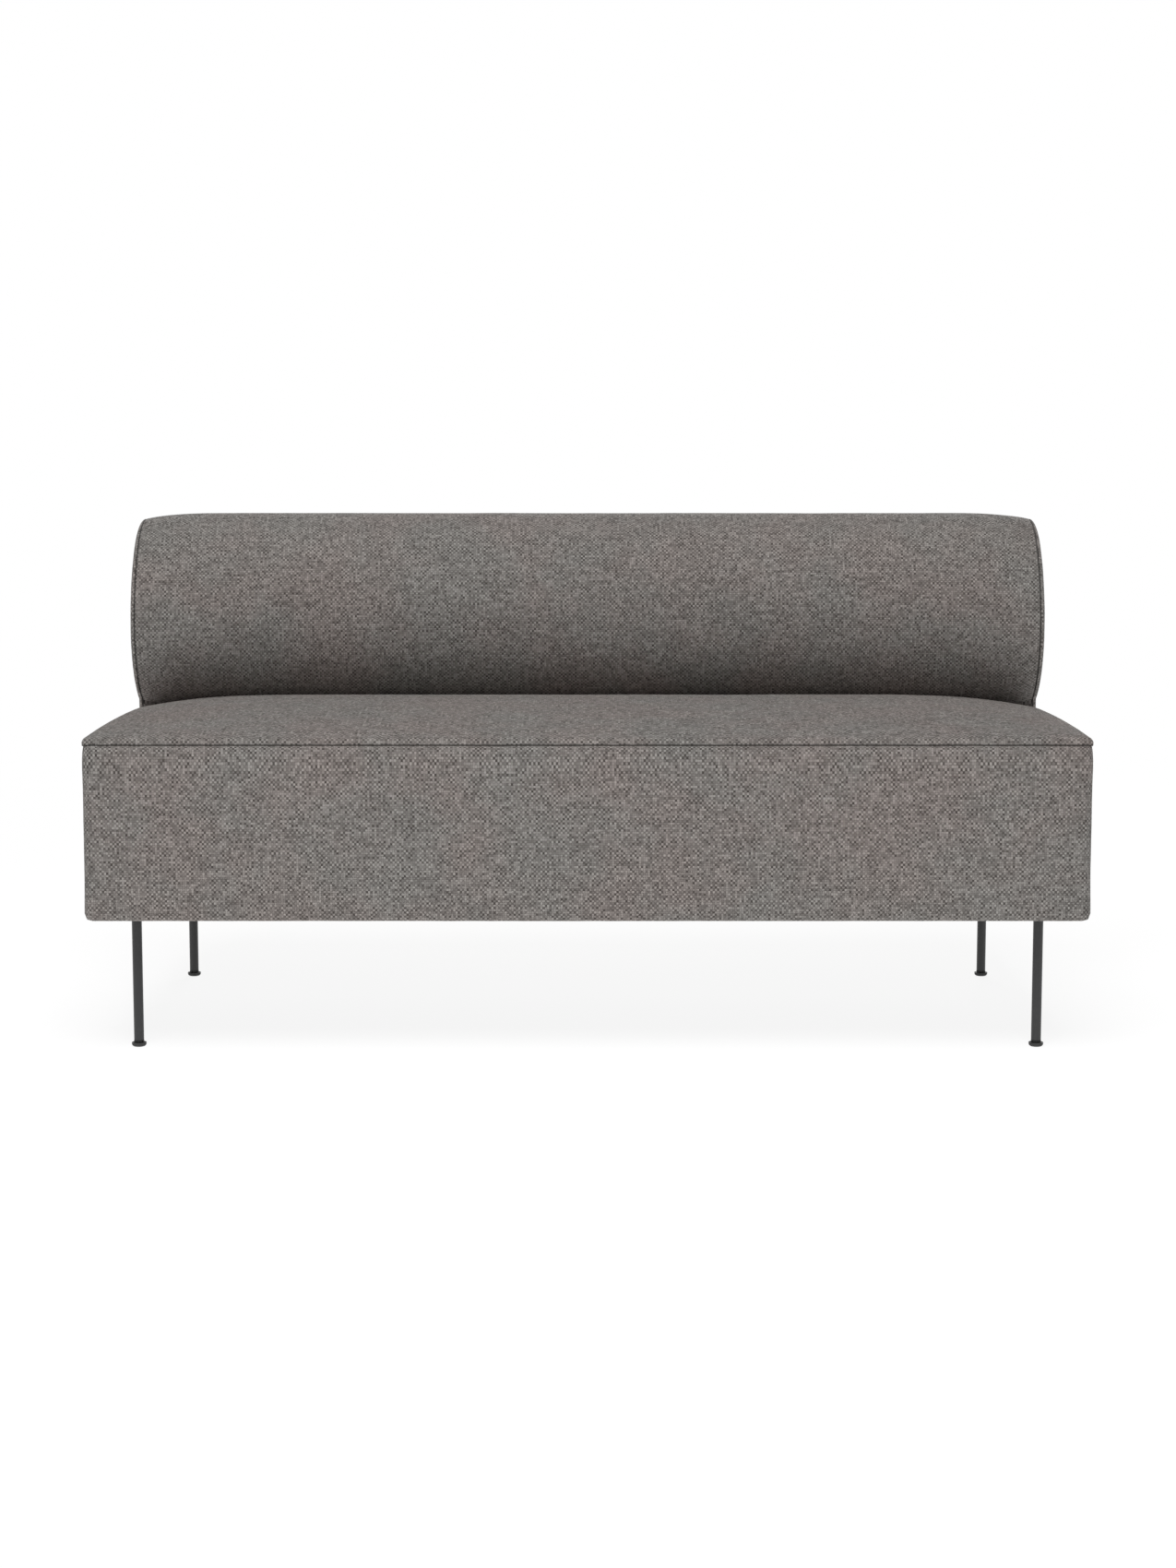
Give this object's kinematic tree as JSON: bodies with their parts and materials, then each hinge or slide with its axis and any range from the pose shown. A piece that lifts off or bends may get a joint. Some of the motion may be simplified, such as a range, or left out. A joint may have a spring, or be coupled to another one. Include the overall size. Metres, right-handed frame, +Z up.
{
  "type": "armless sofa",
  "caption": "Armless sofa: box seat with crowned top and seamed border, round bolster back along the rear edge, four slim round steel legs with screw-in levelling glides",
  "frame": {"origin": "on the floor, at the middle of the sofa's width and depth", "axes": "+X to the right along the sofa as seen from the front, +Y from the front to the rear, +Z up"},
  "size_m": [1.5, 0.7, 0.8],
  "materials": {
    "cover_weave": "coarse mid-grey weave",
    "foam": "open-cell polyurethane foam",
    "plywood": "raw birch plywood",
    "webbing": "elastic webbing",
    "zinc_steel": "zinc plated",
    "leg_coating": "satin dark grey powder coat",
    "black_zinc": "black zinc",
    "glide_rubber": "matt hard rubber",
    "insert_plastic": "black nylon",
    "dust_cloth": "black non-woven cloth"
  },
  "bodies": {
    "sofa": {"seat_cover_top": "cover_weave", "seat_cover_border": "cover_weave", "seat_cover_rear": "cover_weave", "back_cover_wrap": "cover_weave", "back_cover_left_end": "cover_weave", "back_cover_right_end": "cover_weave", "seat_foam_core": "foam", "seat_foam_crown": "foam", "seat_foam_front": "foam", "seat_foam_rear": "foam", "seat_foam_left": "foam", "seat_foam_right": "foam", "back_foam_roll": "foam", "seat_front_rail": "plywood", "seat_rear_rail": "plywood", "seat_left_rail": "plywood", "seat_right_rail": "plywood", "back_support_rail": "plywood", "webbing_ledger": "plywood", "seat_cross_rails": "plywood", "deck_spacers": "plywood", "back_deck_board": "plywood", "corner_blocks": "plywood", "back_base_board": "plywood", "back_front_board": "plywood", "back_rear_board": "plywood", "back_top_rail": "plywood", "back_ribs": "plywood", "webbing_long_straps": "webbing", "webbing_short_straps": "webbing", "rail_screws": "zinc_steel", "back_bolts": "zinc_steel", "back_nuts": "zinc_steel", "leg_plates": "zinc_steel", "leg_plate_screws": "zinc_steel", "leg_front_left": "leg_coating", "leg_front_right": "leg_coating", "leg_rear_left": "leg_coating", "leg_rear_right": "leg_coating", "leg_inserts": "insert_plastic", "dust_cover": "dust_cloth"},
    "pad_front_left": {"glide_pad_front_left": "glide_rubber"},
    "pad_front_right": {"glide_pad_front_right": "glide_rubber"},
    "pad_rear_left": {"glide_pad_rear_left": "glide_rubber"},
    "pad_rear_right": {"glide_pad_rear_right": "glide_rubber"},
    "stud_front_left": {"glide_stud_front_left": "black_zinc"},
    "stud_front_right": {"glide_stud_front_right": "black_zinc"},
    "stud_rear_left": {"glide_stud_rear_left": "black_zinc"},
    "stud_rear_right": {"glide_stud_rear_right": "black_zinc"}
  },
  "joints": [
    {"name": "glide_travel_front_left", "type": "slide", "parent": "sofa", "child": "pad_front_left", "axis": [0, 0, -1], "range_m": [0, 0.01]},
    {"name": "glide_turn_front_left", "type": "hinge", "parent": "pad_front_left", "child": "stud_front_left", "pos_m": [-0.682, -0.282, 0.02], "axis": [0, 0, -1], "range_deg": [0, 2880]},
    {"name": "glide_travel_front_right", "type": "slide", "parent": "sofa", "child": "pad_front_right", "axis": [0, 0, -1], "range_m": [0, 0.01]},
    {"name": "glide_turn_front_right", "type": "hinge", "parent": "pad_front_right", "child": "stud_front_right", "pos_m": [0.682, -0.282, 0.02], "axis": [0, 0, -1], "range_deg": [0, 2880]},
    {"name": "glide_travel_rear_left", "type": "slide", "parent": "sofa", "child": "pad_rear_left", "axis": [0, 0, -1], "range_m": [0, 0.01]},
    {"name": "glide_turn_rear_left", "type": "hinge", "parent": "pad_rear_left", "child": "stud_rear_left", "pos_m": [-0.682, 0.282, 0.02], "axis": [0, 0, -1], "range_deg": [0, 2880]},
    {"name": "glide_travel_rear_right", "type": "slide", "parent": "sofa", "child": "pad_rear_right", "axis": [0, 0, -1], "range_m": [0, 0.01]},
    {"name": "glide_turn_rear_right", "type": "hinge", "parent": "pad_rear_right", "child": "stud_rear_right", "pos_m": [0.682, 0.282, 0.02], "axis": [0, 0, -1], "range_deg": [0, 2880]}
  ],
  "couplings": [
    {"joint": "glide_travel_front_left", "follows": "glide_turn_front_left", "m_per_rad": 0.00019894},
    {"joint": "glide_travel_front_right", "follows": "glide_turn_front_right", "m_per_rad": 0.00019894},
    {"joint": "glide_travel_rear_left", "follows": "glide_turn_rear_left", "m_per_rad": 0.00019894},
    {"joint": "glide_travel_rear_right", "follows": "glide_turn_rear_right", "m_per_rad": 0.00019894}
  ]
}
